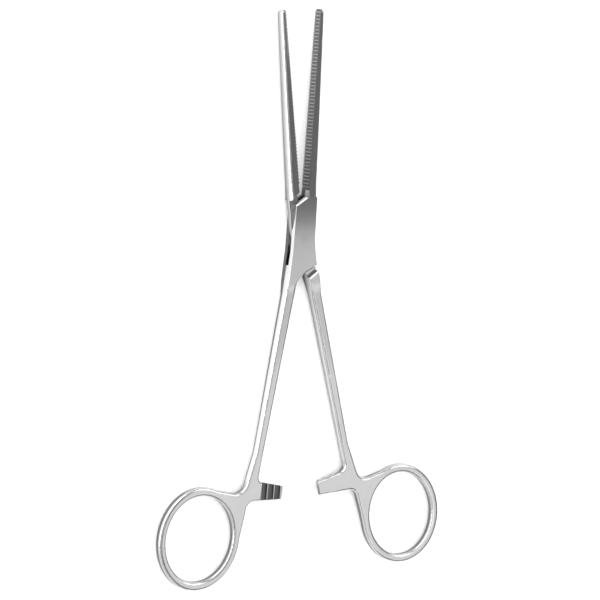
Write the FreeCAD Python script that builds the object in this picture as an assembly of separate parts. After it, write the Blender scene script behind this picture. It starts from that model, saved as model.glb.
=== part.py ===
import FreeCAD, Part
import math
import os

# Straight haemostatic forceps lying flat, millimetres.
# Origin: pivot axis at the underside of the box lock. +Y to the jaw tips, +Z up.
# Both halves are drawn closed about the plane x = 0, then turned open about the pivot.

# Whole instrument
tipY = 78.8
restHalfAngle = 5.0

# Box lock
boxThick = 5.8
wallThick = 1.9
slideGap = 0.05
slotRootDrop = 5.0
boxLeft = 4.3
boxRight = 4.0
boxFlare = 1.75
boxTopLow = 11.3
boxTopHigh = 14.4
boxLowHigh = -9.5
boxLowLow = -12.6
boxLowCrotch = 0.3
boxTopLean = 0.3
boxSideEnd = -5.0
flareBulge = 0.4
crotchArcX = -1.2
crotchArcDrop = 2.0
rootEnd = -20.0
rootTaperLength = 4.0
rootEdgeStart = 0.1
rootEdgeRadius = 1.0
shoulderGap = 1.9
endBevel = 0.45
tenonWidth = 7.4
tenonLean = 0.2
tenonInset = 1.0
tenonOverlap = 6.0
tenonRise = 0.5
tenonCurve = 0.6

# Pivot pin
pinDiameter = 3.2
pinRunningGap = 0.04

# Jaws
jawThickRoot = 4.7
jawThickTip = 3.7
jawWidthRoot = 3.75
jawWidthMid = 2.85
jawWidthTip = 1.8
jawTaperStart = 11.0
jawTaperEnd = 22.0
jawEdgeRadius = 1.25
tipCornerRadius = 1.2
jawRootOverlap = 4.0
jawRelief = 0.35

# Cross serrations
toothPitch = 1.2
toothDepth = 0.38
toothMeshGap = 0.08
teethStart = 18.5

# Shanks
shankRootX = 3.63
shankAngle = 7.15
shankWidthRoot = 3.9
shankWidthEnd = 3.1
shankThickRoot = 4.6
shankEnd = -88.0
shankTop = -14.0

# Finger rings
ringNearX = 15.85
ringTopY = -87.0
ringHoleWidth = 25.7
ringHoleLength = 30.1
ringTube = 3.0
ringThick = 3.25
ringLean = 4.0
handleEdgeRadius = 1.15

# Neck, the web that joins shank, arm and ring
neckTop = -75.0
neckInnerX = 13.6
crotchX = 15.9
crotchY = -89.9
crotchRadius = 4.0
neckOuterAngle = 73.0
neckInnerAngle = 2.0
neckBlendRadius = 18.0

# Ratchet arms
leftArmTop = -85.3
rightArmTop = -84.6
armTopDrop = 2.0
armBottom = -92.4
armBottomRise = 0.4
leftArmPast = 0.6
rightArmPast = 1.4
armEndSlant = 0.4
armCrotchRadius = 2.2
armNeckRadius = 3.0
armTipRadius = 0.7
armTipSpare = 3.0
ratchetPitch = 2.65
ratchetCount = 3
ratchetLand = 0.6
ratchetCrest = 0.5
ratchetDepth = 0.55
ratchetGap = 0.2
stepTopX = 8.8
stepLowX = 9.75

# Values that follow from the ones above, where a ring grows away from its neck; a length past
# everything, a cutter's overshoot and the margin for picking edges by their place
ringX = ringNearX + ringTube + ringHoleWidth / 2.0
ringY = ringTopY - ringTube - ringHoleLength / 2.0
midZ = boxThick / 2.0
slotLow = wallThick
slotHigh = boxThick - wallThick
big = 60.0
spare = 1.0
margin = 0.1


def vector(x, y, z=0.0):
    return FreeCAD.Vector(x, y, z)


def prism(corners, low, high, side=1.0):
    points = [vector(side * x, y, low) for x, y in corners]
    if side < 0:
        points.reverse()
    points.append(points[0])
    face = Part.Face(Part.makePolygon(points))
    return face.extrude(vector(0, 0, high - low))


def wirePrism(edges, low, high):
    face = Part.Face(Part.Wire(edges))
    face.translate(vector(0, 0, low))
    return face.extrude(vector(0, 0, high - low))


def mirrored(shape):
    return shape.mirror(vector(0, 0), vector(1, 0))


def line(start, end):
    return Part.LineSegment(vector(*start), vector(*end)).toShape()


def arc(start, middle, end):
    return Part.Arc(vector(*start), vector(*middle), vector(*end)).toShape()


def taperSolid(stations):
    # Side view of the blank: half thickness over length, smooth, cut through sideways.
    upper = [vector(-big, y, midZ + half) for y, half in stations]
    lower = [vector(-big, y, midZ - half) for y, half in stations]
    topCurve = Part.BSplineCurve()
    topCurve.buildFromPoles(upper, False, 3)
    lowCurve = Part.BSplineCurve()
    lowCurve.buildFromPoles(lower, False, 3)
    startCap = Part.LineSegment(lower[0], upper[0]).toShape()
    endCap = Part.LineSegment(upper[-1], lower[-1]).toShape()
    wire = Part.Wire([startCap, topCurve.toShape(), endCap, lowCurve.toShape()])
    return Part.Face(wire).extrude(vector(2 * big, 0, 0))


def roundCorner(shape, x, y, radius):
    # Rounds the upright corner of the plan view that lies nearest to the named point.
    nearest = None
    nearestGap = big
    for edge in shape.Edges:
        ends = [vertex.Point for vertex in edge.Vertexes]
        if len(ends) != 2:
            continue
        upright = math.hypot(ends[0].x - ends[1].x, ends[0].y - ends[1].y) < 1e-4
        gap = math.hypot(ends[0].x - x, ends[0].y - y)
        if upright and gap < nearestGap:
            nearest = edge
            nearestGap = gap
    return shape.makeFillet(radius, [nearest])


def rimEdges(shape, keep):
    # Edges of the upper and lower faces whose middle passes the test.
    found = []
    for edge in shape.Edges:
        middle = edge.valueAt((edge.FirstParameter + edge.LastParameter) / 2.0)
        ends = [edge.valueAt(edge.FirstParameter), edge.valueAt(edge.LastParameter)]
        offFlat = min(abs(point.z - midZ) for point in ends + [middle])
        if offFlat > ringThick / 2.0 - margin and keep(middle):
            found.append(edge)
    return found


def ringEllipse(grow):
    # Ring outline with its top leaning in towards the other ring.
    halfLength = ringHoleLength / 2.0 + grow
    halfWidth = ringHoleWidth / 2.0 + grow
    centre = vector(ringX, ringY)
    lean = math.radians(90.0 + ringLean)
    longPoint = centre + vector(halfLength * math.cos(lean), halfLength * math.sin(lean))
    shortPoint = centre + vector(-halfWidth * math.sin(lean), halfWidth * math.cos(lean))
    return Part.Ellipse(longPoint, shortPoint, centre).toShape()


def ringPoint(angle):
    # Point of the ring's outline, for the right-hand ring; the angle is 0 towards the middle.
    halfLength = ringHoleLength / 2.0 + ringTube
    halfWidth = ringHoleWidth / 2.0 + ringTube
    across = -halfWidth * math.cos(math.radians(angle))
    along = halfLength * math.sin(math.radians(angle))
    lean = math.radians(ringLean)
    x = ringX + across * math.cos(lean) - along * math.sin(lean)
    y = ringY + across * math.sin(lean) + along * math.cos(lean)
    return x, y


def shankX(y):
    return shankRootX + (rootEnd - y) * math.tan(math.radians(shankAngle))


def shankHalf(y):
    share = (rootEnd - y) / (rootEnd - shankEnd)
    return (shankWidthRoot + (shankWidthEnd - shankWidthRoot) * share) / 2.0


def shankPoint(y, outward):
    return shankX(y) + outward * shankHalf(y), y


def armOutline(top, reach, extra=0.0):
    # Plan of the arm from the shank to the named distance past the middle, with its slanted end.
    rootX = shankX(top)
    topSlope = armTopDrop / (rootX + reach)
    lowSlope = armBottomRise / (neckInnerX + reach)
    endTop = -reach - extra
    endLow = armEndSlant - reach - extra
    return [(rootX, top), (endTop, top - topSlope * (rootX - endTop)),
            (endLow, armBottom + lowSlope * (neckInnerX - endLow)), (neckInnerX, armBottom)]


def armTipTrim(top, reach):
    # Cuts the arm to length with a square end and two small upright roundings.
    outline = armOutline(top, reach)
    keep = prism(outline, -spare, boxThick + spare)
    keep = roundCorner(keep, outline[1][0], outline[1][1], armTipRadius)
    keep = roundCorner(keep, outline[2][0], outline[2][1], armTipRadius)
    right = -reach + armEndSlant + armTipRadius
    left = -reach - armTipSpare - spare
    block = prism([(left, top), (right, top), (right, armBottom - spare), (left, armBottom - spare)],
                  -spare / 2.0, boxThick + spare / 2.0)
    return block.cut(keep)


def neckOutline():
    # Plan of the web: shank side, crotch, ring, and the inner side up to the arm.
    return [shankPoint(neckTop, -1), shankPoint(neckTop, 1), (crotchX, crotchY),
            ringPoint(neckOuterAngle), ringPoint(neckInnerAngle), (neckInnerX, armBottom)]


def handleBlank(top, reach):
    # Shank, neck, ring and ratchet arm as one plate, tapered and rounded.
    shank = prism([shankPoint(shankTop, -1), shankPoint(shankTop, 1),
                   shankPoint(shankEnd, 1), shankPoint(shankEnd, -1)], 0, boxThick)
    neck = prism(neckOutline(), 0, boxThick)
    arm = prism(armOutline(top, reach, armTipSpare), 0, boxThick)
    ring = wirePrism([ringEllipse(ringTube)], 0, boxThick)
    hole = wirePrism([ringEllipse(0)], -spare, boxThick + spare)
    plate = shank.fuse([neck, arm, ring]).cut(hole).removeSplitter()
    plate = roundCorner(plate, shankX(top) - shankHalf(top), top, armCrotchRadius)
    plate = roundCorner(plate, shankPoint(neckTop, 1)[0], neckTop, neckBlendRadius)
    plate = roundCorner(plate, crotchX, crotchY, crotchRadius)
    plate = roundCorner(plate, neckInnerX, armBottom, armNeckRadius)
    for angle in (neckOuterAngle, neckInnerAngle):
        x, y = ringPoint(angle)
        plate = roundCorner(plate, x, y, neckBlendRadius)
    taper = taperSolid([(ringY - ringHoleLength, ringThick / 2.0), (ringY, ringThick / 2.0),
                        (shankEnd, ringThick / 2.0),
                        ((shankEnd + rootEnd) / 2.0, (ringThick + shankThickRoot) / 4.0),
                        (rootEnd, shankThickRoot / 2.0), (shankTop + spare, shankThickRoot / 2.0)])
    plate = plate.common(taper)
    rims = rimEdges(plate, lambda point: point.y < shankTop - spare / 2.0)
    return plate.makeFillet(handleEdgeRadius, rims).cut(armTipTrim(top, reach))


def ratchetCutter(side, top, reach, upperArm):
    # Takes one half of the arm's thickness away, and saw teeth out of the face that is left.
    # The steep sides of the teeth look back to the arm's own shank.
    away = -1.0 if upperArm else 1.0
    seat = midZ - away * ratchetGap / 2.0
    floor = seat - away * ratchetDepth
    edgeLow, edgeHigh = sorted([seat, midZ + away * boxThick])
    slab = prism([(stepTopX, top + spare), (-reach - spare, top + spare),
                  (-reach - spare, armBottom - spare), (stepLowX, armBottom - spare)],
                 edgeLow, edgeHigh, side)
    cutters = [slab]
    for index in range(ratchetCount):
        x = -reach + ratchetLand + ratchetCrest + index * ratchetPitch
        slopeEnd = x + ratchetPitch - ratchetCrest
        low = armBottom - spare
        corners = [vector(side * x, low, seat), vector(side * slopeEnd, low, seat),
                   vector(side * x, low, floor)]
        face = Part.Face(Part.makePolygon(corners + [corners[0]]))
        cutters.append(face.extrude(vector(0, top + spare - low, 0)))
    return cutters


def jawBlank():
    # D-shaped bar: flat gripping side towards the middle, round back, blunt tip.
    inner = -toothDepth / 2.0
    middleY = (jawTaperEnd + tipY) / 2.0
    start = (inner, boxTopHigh - jawRootOverlap)
    edges = [line(start, (inner, tipY)),
             line((inner, tipY), (jawWidthTip, tipY)),
             arc((jawWidthTip, tipY), (jawWidthMid, middleY), (jawWidthRoot, jawTaperEnd)),
             line((jawWidthRoot, jawTaperEnd), (boxRight, start[1])),
             line((boxRight, start[1]), start)]
    blank = wirePrism(edges, 0, boxThick)
    blank = roundCorner(blank, jawWidthTip, tipY, tipCornerRadius)
    easing = (jawTaperEnd - jawTaperStart) / 3.0
    taper = taperSolid([(start[1] - spare, midZ), (jawTaperStart, midZ), (jawTaperStart + easing, midZ),
                        (jawTaperEnd - easing, jawThickRoot / 2.0), (jawTaperEnd, jawThickRoot / 2.0),
                        (middleY, (jawThickRoot + jawThickTip) / 4.0), (tipY + spare, jawThickTip / 2.0)])
    blank = blank.common(taper)
    outer = [edge for edge in rimEdges(blank, lambda point: point.x > toothDepth)
             if max(vertex.Point.y for vertex in edge.Vertexes) > start[1] + margin]
    return blank.makeFillet(jawEdgeRadius, outer)


def toothRack(side, lowY):
    # Everything beyond the gripping face: a plain relief near the box, then cross teeth.
    def gap(y):
        return toothMeshGap / 2.0 + jawRelief * (tipY - y) / (tipY - teethStart)
    corners = [(-boxLeft, tipY + spare)]
    count = int(2 * (tipY - teethStart) / toothPitch)
    for index in range(-1, count + 1):
        y = tipY - index * toothPitch / 2.0
        swing = toothDepth / 2.0 if index % 2 else -toothDepth / 2.0
        corners.append((swing * side + gap(y), y))
    lastY = tipY - count * toothPitch / 2.0
    corners.append((gap(lastY) + toothDepth / 2.0, lastY - toothPitch / 2.0))
    corners.append((gap(lastY) + toothDepth / 2.0, lowY))
    corners.append((-boxLeft, lowY))
    return prism(corners, -spare, boxThick + spare, side)


def boxBlank():
    # Plan of the box with both slanting wall ends and the root of the left shank.
    rootOuter = shankPoint(rootEnd, 1)
    rootInner = shankPoint(rootEnd, -1)
    cornerX = boxRight + boxFlare
    topRight = boxRight - boxTopLean
    edges = [line((-boxLeft, boxTopLow), (0.0, boxTopHigh)),
             line((0.0, boxTopHigh), (topRight, boxTopHigh)),
             line((topRight, boxTopHigh), (boxRight, 0.0)),
             arc((boxRight, 0.0), (boxRight + boxFlare * flareBulge, boxLowHigh / 2.0),
                 (cornerX, boxLowHigh)),
             line((cornerX, boxLowHigh), (boxLowCrotch, boxLowLow)),
             arc((boxLowCrotch, boxLowLow), (crotchArcX, boxLowLow - crotchArcDrop),
                 (-rootInner[0], rootEnd)),
             line((-rootInner[0], rootEnd), (-rootOuter[0], rootEnd)),
             line((-rootOuter[0], rootEnd), (-boxLeft, boxSideEnd)),
             line((-boxLeft, boxSideEnd), (-boxLeft, boxTopLow))]
    return wirePrism(edges, 0, boxThick)


def rootTaper():
    # The box keeps its full thickness down to the slanting wall ends, then thins into the shank.
    return taperSolid([(rootEnd - spare, shankThickRoot / 2.0), (rootEnd + spare, shankThickRoot / 2.0),
                       (boxLowLow - rootTaperLength, midZ), (boxLowLow, midZ), (0.0, midZ), (big, midZ)])


def easeRoot(blank):
    # Rounds the long edges of the root, almost sharp at the box and round where the shank begins.
    for shankFirst in (True, False):
        chosen = []
        for edge in blank.Edges:
            first = edge.valueAt(edge.FirstParameter)
            last = edge.valueAt(edge.LastParameter)
            atShank = [abs(point.y - rootEnd) < margin for point in (first, last)]
            offFlat = min(abs(first.z - midZ), abs(last.z - midZ))
            if atShank == [shankFirst, not shankFirst] and offFlat > ringThick / 2.0:
                chosen.append(edge)
        radii = (rootEdgeRadius, rootEdgeStart) if shankFirst else (rootEdgeStart, rootEdgeRadius)
        if chosen:
            blank = blank.makeFillet(radii[0], radii[1], chosen)
    return blank


def bevel(start, end, size, face):
    # Wedge along one edge of a flat face; the stock lies to the left of start to end.
    length = math.hypot(end[0] - start[0], end[1] - start[1])
    outX = (end[1] - start[1]) / length
    outY = -(end[0] - start[0]) / length
    up = 1.0 if face > midZ else -1.0
    outer = (start[0] + outX * size, start[1] + outY * size)
    inner = (start[0] - outX * size * 2.0, start[1] - outY * size * 2.0)
    corners = [vector(outer[0], outer[1], face - up * size * 2.0),
               vector(inner[0], inner[1], face + up * size),
               vector(outer[0], outer[1], face + up * size)]
    wedge = Part.Face(Part.makePolygon(corners + [corners[0]]))
    return wedge.extrude(vector(end[0] - start[0], end[1] - start[1], 0))


def wallSlopes():
    # Rise of the slanting wall ends at the jaw side and at the shank side.
    slopeTop = (boxTopHigh - boxTopLow) / boxLeft
    slopeLow = (boxLowHigh - boxLowLow) / (boxRight + boxFlare - boxLowCrotch)
    return slopeTop, slopeLow


def boxBevels():
    slopeTop, slopeLow = wallSlopes()
    topEnd = (-boxLeft - spare, boxTopLow - slopeTop * spare)
    lowEnd = (boxRight + boxFlare + spare, boxLowHigh + slopeLow * spare)
    wedges = []
    for face in (0.0, boxThick):
        wedges.append(bevel((0.0, boxTopHigh), topEnd, endBevel, face))
        wedges.append(bevel((boxLowCrotch, boxLowLow), lowEnd, endBevel, face))
    return wedges


def femaleHalf():
    box = easeRoot(boxBlank().common(rootTaper())).cut(boxBevels())
    outLeft = -boxLeft - spare
    outRight = boxRight + boxFlare + spare
    outTop = boxTopHigh + tenonOverlap
    slot = prism([(outLeft, outTop), (outLeft, boxLowHigh), (boxLowCrotch, boxLowLow),
                  (outRight, boxLowLow - spare), (outRight, boxTopHigh - slotRootDrop),
                  (0.0, boxTopHigh + slideGap), (0.0, outTop)], slotLow, slotHigh)
    shape = box.fuse([jawBlank(), mirrored(handleBlank(leftArmTop, leftArmPast))])
    shape = shape.cut(slot)
    shape = shape.cut(toothRack(1.0, boxTopHigh))
    shape = shape.cut(Part.makeCylinder(pinDiameter / 2.0, boxThick, vector(0, 0, 0)))
    for cutter in ratchetCutter(-1.0, leftArmTop, leftArmPast, False):
        shape = shape.cut(cutter)
    return shape.removeSplitter()


def maleHalf():
    handle = handleBlank(rightArmTop, rightArmPast)
    tenon = easeRoot(tenonBlank().common(rootTaper()))
    shape = mirrored(jawBlank()).fuse([tenon, handle])
    shape = shape.cut(shoulderCutters())
    shape = shape.cut(toothRack(-1.0, boxTopLow))
    bore = pinDiameter / 2.0 + pinRunningGap
    shape = shape.cut(Part.makeCylinder(bore, boxThick, vector(0, 0, 0)))
    for cutter in ratchetCutter(1.0, rightArmTop, rightArmPast, True):
        shape = shape.cut(cutter)
    return shape.removeSplitter()


def tenonBlank():
    # Plan of the bar that passes through the box, with the roots of jaw and shank.
    rootOuter = shankPoint(rootEnd, 1)
    rootInner = shankPoint(rootEnd, -1)
    half = tenonWidth / 2.0
    inner = -toothDepth / 2.0
    lowLeft = (-boxRight, boxTopLow - tenonOverlap)
    topLeft = (-boxRight + tenonLean, boxTopLow + tenonRise)
    topInner = (inner, boxTopHigh + tenonRise)
    jawCorner = (inner, boxTopHigh - tenonInset)
    shankCorner = (rootOuter[0] - tenonInset, boxLowLow)
    crotchCorner = (boxLowCrotch + tenonInset / 2.0, boxLowLow - tenonInset)
    lowCorner = (-half, -half / 2.0)
    edges = [line(lowLeft, topLeft),
             line(topLeft, topInner),
             line(topInner, jawCorner),
             arc(jawCorner, (half * tenonCurve, (boxTopHigh - tenonInset) / 2.0), (half, 0.0)),
             line((half, 0.0), shankCorner),
             line(shankCorner, rootOuter),
             line(rootOuter, rootInner),
             line(rootInner, crotchCorner),
             line(crotchCorner, lowCorner),
             line(lowCorner, lowLeft)]
    return wirePrism(edges, 0, boxThick)


def shoulderLines():
    # Both shoulders run parallel to the wall ends, one named gap away from them.
    slopeTop, slopeLow = wallSlopes()
    reach = boxLeft + boxRight + boxFlare + spare
    topMiddle = boxTopHigh + shoulderGap
    lowMiddle = boxLowLow - shoulderGap
    upper = ((-reach, topMiddle - slopeTop * reach), (reach, topMiddle + slopeTop * reach))
    lower = ((-reach, lowMiddle - slopeLow * (reach + boxLowCrotch)),
             (reach, lowMiddle + slopeLow * (reach - boxLowCrotch)))
    return upper, lower


def shoulderCutters():
    # Room for both walls of the box, and the bevel along each shoulder.
    upper, lower = shoulderLines()
    plan = [upper[0], upper[1], lower[1], lower[0]]
    cutters = [prism(plan, -spare, slotLow + slideGap),
               prism(plan, slotHigh - slideGap, boxThick + spare)]
    for face in (0.0, boxThick):
        cutters.append(bevel(upper[0], upper[1], endBevel, face))
        cutters.append(bevel(lower[1], lower[0], endBevel, face))
    return cutters


def pivotPin():
    return Part.makeCylinder(pinDiameter / 2.0, boxThick)


pieces = {"female_half": femaleHalf(), "male_half": maleHalf(), "pivot_pin": pivotPin()}
pieces["female_half"].rotate(vector(0, 0), vector(0, 0, 1), -restHalfAngle)
pieces["male_half"].rotate(vector(0, 0), vector(0, 0, 1), restHalfAngle)
os.makedirs("parts", exist_ok=True)
for name, piece in pieces.items():
    print(name, "valid", piece.isValid(), "solids", len(piece.Solids), "volume", round(piece.Volume, 1))
    piece.exportStep("parts/" + name + ".step")
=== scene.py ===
import bmesh
import bpy
import math
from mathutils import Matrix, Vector

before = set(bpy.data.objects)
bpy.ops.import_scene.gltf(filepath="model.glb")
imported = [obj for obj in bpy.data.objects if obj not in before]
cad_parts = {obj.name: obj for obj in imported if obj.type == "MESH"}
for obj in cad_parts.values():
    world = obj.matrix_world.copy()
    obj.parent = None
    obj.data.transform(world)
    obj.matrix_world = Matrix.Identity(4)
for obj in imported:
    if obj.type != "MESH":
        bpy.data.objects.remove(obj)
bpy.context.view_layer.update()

print("frame loaded:", ", ".join(sorted(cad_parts)))


def linearColour(hexValue):  # sRGB hex to the linear values that the shaders take
    channels = [int(hexValue[i:i + 2], 16) / 255 for i in (1, 3, 5)]
    return [c / 12.92 if c <= 0.04045 else ((c + 0.055) / 1.055) ** 2.4 for c in channels] + [1.0]


def perMetre(sizeMm):  # texture scale that gives features of that size
    return 1000.0 / sizeMm


def addNode(tree, kind, settings=None, links=None):
    # settings: socket or property values; links: input socket -> output socket
    node = tree.nodes.new(kind)
    for key, value in (settings or {}).items():
        if isinstance(key, int) or key in node.inputs:
            node.inputs[key].default_value = value
        else:
            setattr(node, key, value)
    for key, source in (links or {}).items():
        tree.links.new(source, node.inputs[key])
    return node


def newMaterial(name):
    material = bpy.data.materials.new(name)
    material.use_nodes = True
    material.node_tree.nodes.clear()
    return material, material.node_tree


# Steel of the two halves and the pin

forcepsSteel = {
    "flatColour": "#c8c8c8",       # satin front and back faces
    "roundColour": "#d8d8d8",      # polished backs and rounded edges
    "paintedSideShadeColour": "#666667",       # painted shade on the upright sides, darkest low down
    "milledAndGrooveShadeColour": "#757577",        # serrations and ratchet: milled finish, darkened further by painted shade in the grooves
    "paintedCrestHighlightColour": "#bababa",      # painted highlight on their crests
    "flatRoughness": 0.16,
    "roundRoughness": 0.25,
    "sideRoughness": 0.30,
    "cutRoughness": 0.42,
    "roughnessSpread": 0.04,       # the grain's own change of roughness, up and down
    "grainMm": 0.35,               # real bead grain is finer, drawn as coarse as the render shows
    "grainDetail": 2.0,
    "cloudMm": 11.0,               # slow change of the satin from hand polishing
    "cloudDetail": 3.0,
    "cloudShade": (0.93, 1.05),    # darkest and brightest that it makes the colour
    "lineMm": 0.3,                 # polishing lines, across their run
    "lineRunMm": 14.0,             # and along it
    "lineDetail": 3.0,
    "bumpMm": 0.0016,              # depth of the grain and lines
    "bumpStrength": 0.6,
    "flatFromTo": (0.972, 0.995),  # upward part of the normal: rounded edge below, flat face above
    "uprightFromTo": (0.5, 0.22),  # the same: sloping above, fully upright below
    "crestFromTo": (0.985, 0.995),  # the same, for the level crests of the ratchet
    "tipMm": 78.8,                 # end of the jaws, along the forceps from the pin
    "toothPitchMm": 1.2,
    "toothReachMm": 0.75,          # how far the milled finish reaches from the gripping plane
    "toothStartMm": 16.5,          # first tooth, from the pin
    "crestMm": (0.15, 0.05),       # half widths of a painted tooth-crest highlight, faded out and full
    "ratchetTopMm": -83.6,         # upper edge of the arms
    "ratchetReachMm": 9.9,         # how far out from the middle of the closed forceps its teeth go
    "middleHeightMm": 2.9,
    "ratchetDeepMm": 0.75,         # band of the teeth above and below the middle height
    "sideShadeFadeMm": (2.3, 3.0),      # heights between which the painted shade on an upright side fades out
    "ringShadeTopMm": -83.6,            # from here down, the painted shade covers the sides of the rings at every height
    "ringShadeFadeMm": 6.0,
}


def satinStainless(name, facts, openedBy, crestShift):
    # Ground and bead-blasted stainless steel: soft grey flats, mirror-like rounded edges,
    # painted shade on the upright sides, and milled teeth with painted shade in their grooves and painted
    # highlights on their crests
    material, tree = newMaterial(name)
    place = addNode(tree, "ShaderNodeTexCoord").outputs["Object"]
    normal = addNode(tree, "ShaderNodeNewGeometry").outputs["Normal"]
    facing = addNode(tree, "ShaderNodeSeparateXYZ", links={0: normal}).outputs["Z"]
    level = addNode(tree, "ShaderNodeMath", {"operation": "ABSOLUTE"}, {0: facing}).outputs[0]
    roundedBelow, flatAbove = facts["flatFromTo"]
    flat = addNode(tree, "ShaderNodeMapRange", {"From Min": roundedBelow, "From Max": flatAbove},
                   {"Value": level}).outputs[0]
    notFlat = addNode(tree, "ShaderNodeMath", {"operation": "SUBTRACT", 0: 1.0}, {1: flat}).outputs[0]

    # each half turned back to its closed place, so that its gripping face lies on x = 0
    closed = addNode(tree, "ShaderNodeVectorRotate", {"rotation_type": "Z_AXIS", "Angle": -openedBy},
                     {"Vector": place}).outputs[0]
    axes = addNode(tree, "ShaderNodeSeparateXYZ", links={0: closed}).outputs
    aside = addNode(tree, "ShaderNodeMath", {"operation": "ABSOLUTE"}, {0: axes["X"]}).outputs[0]

    # milled gripping teeth
    nearGrip = addNode(tree, "ShaderNodeMath", {"operation": "LESS_THAN", 1: facts["toothReachMm"] / 1000},
                       {0: aside}).outputs[0]
    onJaw = addNode(tree, "ShaderNodeMath", {"operation": "GREATER_THAN", 1: facts["toothStartMm"] / 1000},
                    {0: axes["Y"]}).outputs[0]
    gripSide = addNode(tree, "ShaderNodeMath", {"operation": "MULTIPLY"}, {0: nearGrip, 1: onJaw}).outputs[0]
    gripTeeth = addNode(tree, "ShaderNodeMath", {"operation": "MULTIPLY"},
                        {0: gripSide, 1: notFlat}).outputs[0]

    # milled ratchet, in a band about the middle height of the arms
    atSplit = addNode(tree, "ShaderNodeMath", {"operation": "COMPARE", 1: facts["middleHeightMm"] / 1000,
                      2: facts["ratchetDeepMm"] / 1000}, {0: axes["Z"]}).outputs[0]
    nearArm = addNode(tree, "ShaderNodeMath", {"operation": "LESS_THAN", 1: facts["ratchetReachMm"] / 1000},
                      {0: aside}).outputs[0]
    belowArm = addNode(tree, "ShaderNodeMath", {"operation": "LESS_THAN", 1: facts["ratchetTopMm"] / 1000},
                       {0: axes["Y"]}).outputs[0]
    armEnd = addNode(tree, "ShaderNodeMath", {"operation": "MULTIPLY"}, {0: nearArm, 1: belowArm}).outputs[0]
    ratchet = addNode(tree, "ShaderNodeMath", {"operation": "MULTIPLY"}, {0: armEnd, 1: atSplit}).outputs[0]
    # milled finish and painted groove shade, on the gripping teeth and the ratchet
    milledAndGrooveShade = addNode(tree, "ShaderNodeMath", {"operation": "MAXIMUM"}, {0: gripTeeth, 1: ratchet}).outputs[0]

    # painted highlights: every tooth crest of the jaw, and the flat crests of the ratchet
    pitch = facts["toothPitchMm"] / 1000
    crestEnd, crestFull = [width / 1000 for width in facts["crestMm"]]
    fromTip = addNode(tree, "ShaderNodeMath", {"operation": "SUBTRACT",
                      0: facts["tipMm"] / 1000 - crestShift * pitch}, {1: axes["Y"]}).outputs[0]
    offCrest = addNode(tree, "ShaderNodeMath", {"operation": "PINGPONG", 1: pitch / 2},
                       {0: fromTip}).outputs[0]
    nearCrest = addNode(tree, "ShaderNodeMapRange", {"From Min": crestEnd, "From Max": crestFull},
                        {"Value": offCrest}).outputs[0]
    toothCrest = addNode(tree, "ShaderNodeMath", {"operation": "MULTIPLY"},
                         {0: gripTeeth, 1: nearCrest}).outputs[0]
    crestFrom, crestTo = facts["crestFromTo"]
    levelCrest = addNode(tree, "ShaderNodeMapRange", {"From Min": crestFrom, "From Max": crestTo},
                         {"Value": level}).outputs[0]
    ratchetCrest = addNode(tree, "ShaderNodeMath", {"operation": "MULTIPLY"},
                           {0: ratchet, 1: levelCrest}).outputs[0]
    paintedCrestHighlight = addNode(tree, "ShaderNodeMath", {"operation": "MAXIMUM"},
                     {0: toothCrest, 1: ratchetCrest}).outputs[0]

    # painted shade on upright sides, towards the underside, and over their whole height on the rings
    slopingAbove, uprightBelow = facts["uprightFromTo"]
    upright = addNode(tree, "ShaderNodeMapRange", {"From Min": slopingAbove, "From Max": uprightBelow},
                      {"Value": level}).outputs[0]
    darkTo, brightFrom = [height / 1000 for height in facts["sideShadeFadeMm"]]
    lowShadedPart = addNode(tree, "ShaderNodeMapRange", {"From Min": brightFrom, "From Max": darkTo},
                      {"Value": axes["Z"]}).outputs[0]
    ringTop = facts["ringShadeTopMm"] / 1000
    ringFull = ringTop - facts["ringShadeFadeMm"] / 1000
    ringShaded = addNode(tree, "ShaderNodeMapRange", {"From Min": ringTop, "From Max": ringFull},
                     {"Value": axes["Y"]}).outputs[0]
    shadedPart = addNode(tree, "ShaderNodeMath", {"operation": "MAXIMUM"}, {0: lowShadedPart, 1: ringShaded}).outputs[0]
    paintedSideShade = addNode(tree, "ShaderNodeMath", {"operation": "MULTIPLY"}, {0: upright, 1: shadedPart}).outputs[0]

    # bead grain on the flats, fine lines along the rounded parts, slow clouds over both
    grain = addNode(tree, "ShaderNodeTexNoise", {"Scale": perMetre(facts["grainMm"]),
                    "Detail": facts["grainDetail"]}, {"Vector": place}).outputs["Fac"]
    cloud = addNode(tree, "ShaderNodeTexNoise", {"Scale": perMetre(facts["cloudMm"]),
                    "Detail": facts["cloudDetail"]}, {"Vector": place}).outputs["Fac"]
    along = addNode(tree, "ShaderNodeMapping", {"Scale": (1.0, facts["lineMm"] / facts["lineRunMm"], 1.0)},
                    {"Vector": place}).outputs["Vector"]
    lines = addNode(tree, "ShaderNodeTexNoise", {"Scale": perMetre(facts["lineMm"]),
                    "Detail": facts["lineDetail"]}, {"Vector": along}).outputs["Fac"]

    # Mix nodes: socket 0 is the share, 6 and 7 are colours, 2 and 3 are numbers
    detail = addNode(tree, "ShaderNodeMix", {"data_type": "FLOAT"}, {0: flat, 2: lines, 3: grain}).outputs[0]
    base = addNode(tree, "ShaderNodeMix", {"data_type": "RGBA", 6: linearColour(facts["roundColour"]),
                   7: linearColour(facts["flatColour"])}, {0: flat}).outputs[2]
    # painted shade on the upright sides
    sideShaded = addNode(tree, "ShaderNodeMix", {"data_type": "RGBA", 7: linearColour(facts["paintedSideShadeColour"])},
                    {0: paintedSideShade, 6: base}).outputs[2]
    # milled finish with painted shade in the grooves
    milledAndShaded = addNode(tree, "ShaderNodeMix", {"data_type": "RGBA", 7: linearColour(facts["milledAndGrooveShadeColour"])},
                     {0: milledAndGrooveShade, 6: sideShaded}).outputs[2]
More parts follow.
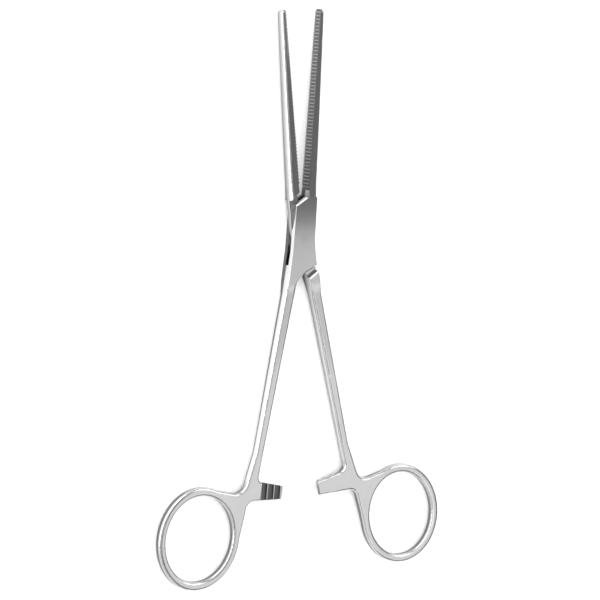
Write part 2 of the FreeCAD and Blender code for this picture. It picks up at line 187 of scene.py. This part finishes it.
    # painted highlight on the crests
    crestHighlighted = addNode(tree, "ShaderNodeMix", {"data_type": "RGBA", 7: linearColour(facts["paintedCrestHighlightColour"])},
                     {0: paintedCrestHighlight, 6: milledAndShaded}).outputs[2]
    darkest, brightest = facts["cloudShade"]
    shade = addNode(tree, "ShaderNodeMapRange", {"To Min": darkest, "To Max": brightest},
                    {"Value": cloud}).outputs[0]
    colour = addNode(tree, "ShaderNodeVectorMath", {"operation": "SCALE"}, {0: crestHighlighted, 3: shade}).outputs[0]

    smooth = addNode(tree, "ShaderNodeMapRange", {"To Min": facts["roundRoughness"],
                     "To Max": facts["flatRoughness"]}, {"Value": flat}).outputs[0]
    sidedRough = addNode(tree, "ShaderNodeMix", {"data_type": "FLOAT", 3: facts["sideRoughness"]},
                         {0: paintedSideShade, 2: smooth}).outputs[0]
    milledRough = addNode(tree, "ShaderNodeMix", {"data_type": "FLOAT", 3: facts["cutRoughness"]},
                          {0: milledAndGrooveShade, 2: sidedRough}).outputs[0]
    spread = addNode(tree, "ShaderNodeMapRange", {"To Min": -facts["roughnessSpread"],
                     "To Max": facts["roughnessSpread"]}, {"Value": detail}).outputs[0]
    rough = addNode(tree, "ShaderNodeMath", {"operation": "ADD"}, {0: milledRough, 1: spread}).outputs[0]

    bump = addNode(tree, "ShaderNodeBump", {"Strength": facts["bumpStrength"],
                   "Distance": facts["bumpMm"] / 1000}, {"Height": detail}).outputs["Normal"]
    shader = addNode(tree, "ShaderNodeBsdfPrincipled", {"Metallic": 1.0},
                     {"Base Color": colour, "Roughness": rough, "Normal": bump}).outputs[0]
    addNode(tree, "ShaderNodeOutputMaterial", links={"Surface": shader})
    return material


shading = {
    "crispDegrees": 24,     # faces that meet at more than this keep a crisp edge
    "joinWithinMm": 0.002,  # corners of the loose triangles that are one point
    "largeFaceWeight": 90,
}


def smoothAcrossFacets(facts):
    # Geometry nodes group: smooth shading, kept crisp where faces meet at more than the angle
    group = bpy.data.node_groups.new("smoothAcrossFacets", "GeometryNodeTree")
    group.interface.new_socket("Geometry", in_out="INPUT", socket_type="NodeSocketGeometry")
    group.interface.new_socket("Geometry", in_out="OUTPUT", socket_type="NodeSocketGeometry")
    entry = addNode(group, "NodeGroupInput").outputs[0]
    allFaces = addNode(group, "GeometryNodeSetShadeSmooth", {"domain": "FACE", "Shade Smooth": True},
                       {"Geometry": entry}).outputs[0]
    angle = addNode(group, "GeometryNodeInputMeshEdgeAngle").outputs["Unsigned Angle"]
    soft = addNode(group, "FunctionNodeCompare", {"data_type": "FLOAT", "operation": "LESS_EQUAL",
                   1: math.radians(facts["crispDegrees"])}, {0: angle}).outputs[0]
    edges = addNode(group, "GeometryNodeSetShadeSmooth", {"domain": "EDGE"},
                    {"Geometry": allFaces, "Shade Smooth": soft}).outputs[0]
    addNode(group, "NodeGroupOutput", links={0: edges})
    return group


restOpening = math.radians(5.0)  # each half stands this far from closed
maleSteel = dict(forcepsSteel, sideShadeFadeMm=(1.2, 5.0))  # painted side shade fades slowly, over nearly the full height
pinSteel = dict(forcepsSteel, flatRoughness=0.18, cloudMm=4.0)
finishes = {
    # steel, turn from closed, and by how much of a pitch the teeth are shifted to mesh
    "female_half": satinStainless("satinStainlessRight", forcepsSteel, -restOpening, 0.0),
    "male_half": satinStainless("satinStainlessLeft", maleSteel, restOpening, 0.5),
    "pivot_pin": satinStainless("groundPinSteel", pinSteel, 0.0, 0.0),
}
smoothGroup = smoothAcrossFacets(shading)
for name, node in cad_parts.items():
    node.data.materials.clear()
    node.data.materials.append(finishes[name])
    weld = node.modifiers.new("joinTriangles", "WELD")
    weld.merge_threshold = shading["joinWithinMm"] / 1000
    node.modifiers.new("smoothAcrossFacets", "NODES").node_group = smoothGroup
    weighted = node.modifiers.new("evenNormals", "WEIGHTED_NORMAL")
    weighted.keep_sharp = True
    weighted.weight = shading["largeFaceWeight"]
print("steel on", len(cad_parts), "nodes")


# Camera, floor and light

photoCamera = {
    "placeMm": (-466.92, 114.85, 811.42),
    "turnDegrees": (-8.340, -29.987, 0.015),
    "lensMm": 163.24,
    "sensorMm": 36.0,
    "nearestMm": 10.0,
}

cameraData = bpy.data.cameras.new("photoCamera")
cameraData.lens = photoCamera["lensMm"]
cameraData.sensor_width = photoCamera["sensorMm"]
cameraData.clip_start = photoCamera["nearestMm"] / 1000
camera = bpy.data.objects.new("photoCamera", cameraData)
camera.location = [value / 1000 for value in photoCamera["placeMm"]]
camera.rotation_euler = [math.radians(value) for value in photoCamera["turnDegrees"]]
bpy.context.scene.collection.objects.link(camera)
bpy.context.scene.camera = camera

studio = {
    "floorHalfSize": 3.0,      # m
    "floorDropMm": 0.02,       # below the forceps, so that their undersides don't flicker into it
    "floorColour": "#f6f6f6",
    "roomColour": "#ffffff",
    "roomBrightness": 0.2,
    # name: place (m), target (m), width and height (m), brightness of its face, mirrored in the steel
    "lights": {
        "backLeft": ((-0.89, 0.60, 0.66), (0.0, 0.0, 0.0), (2.75, 1.10), 2.2, True),
        "backRight": ((0.70, 0.70, 0.75), (0.0, 0.0, 0.0), (1.00, 0.66), 2.2, True),
        "frontLeft": ((-0.68, -0.81, 0.55), (0.0, 0.0, 0.0), (1.40, 0.90), 0.65, True),
        "above": ((-0.22, -0.26, 1.20), (0.0, 0.0, 0.0), (0.50, 0.50), 0.6, True),
        "overTip": ((0.071, 0.079, 0.15), (0.071, 0.079, 0.0), (0.022, 0.042), 0.6, True),
        "overBox": ((0.085, -0.0455, 0.15), (0.085, -0.0455, 0.0), (0.17, 0.059), 0.70, True),
        "overHandles": ((0.085, -0.169, 0.15), (0.085, -0.169, 0.0), (0.17, 0.188), 0.93, True),
        "floorWash": ((0.00, 0.00, 1.60), (0.0, 0.0, 0.0), (3.00, 3.00), 1.5, False),
    },
}


def paleFloor(facts):
    # Matt white sweep that the forceps lie on
    material, tree = newMaterial("mattWhiteFloor")
    shader = addNode(tree, "ShaderNodeBsdfDiffuse", {"Color": linearColour(facts["floorColour"])}).outputs[0]
    addNode(tree, "ShaderNodeOutputMaterial", links={"Surface": shader})
    plane = bmesh.new()
    bmesh.ops.create_grid(plane, x_segments=1, y_segments=1, size=facts["floorHalfSize"])
    mesh = bpy.data.meshes.new("floor")
    plane.to_mesh(mesh)
    plane.free()
    mesh.materials.append(material)
    floor = bpy.data.objects.new("floor", mesh)
    floor.location.z = -facts["floorDropMm"] / 1000
    bpy.context.scene.collection.objects.link(floor)


def softLight(name, place, target, size, brightness, inSteel):
    data = bpy.data.lights.new(name, "AREA")
    data.shape = "RECTANGLE"
    data.size, data.size_y = size
    data.energy = brightness * math.pi * size[0] * size[1]
    light = bpy.data.objects.new(name, data)
    light.visible_camera = False
    light.visible_glossy = inSteel
    light.location = place
    light.rotation_euler = (Vector(target) - Vector(place)).to_track_quat("-Z", "Y").to_euler()
    bpy.context.scene.collection.objects.link(light)


paleFloor(studio)
for name, facts in studio["lights"].items():
    softLight(name, *facts)
world = bpy.data.worlds.new("studio")
world.use_nodes = True
world.node_tree.nodes["Background"].inputs["Color"].default_value = linearColour(studio["roomColour"])
world.node_tree.nodes["Background"].inputs["Strength"].default_value = studio["roomBrightness"]
bpy.context.scene.world = world
bpy.context.scene.view_settings.view_transform = "Standard"
print("camera, floor and lights set")
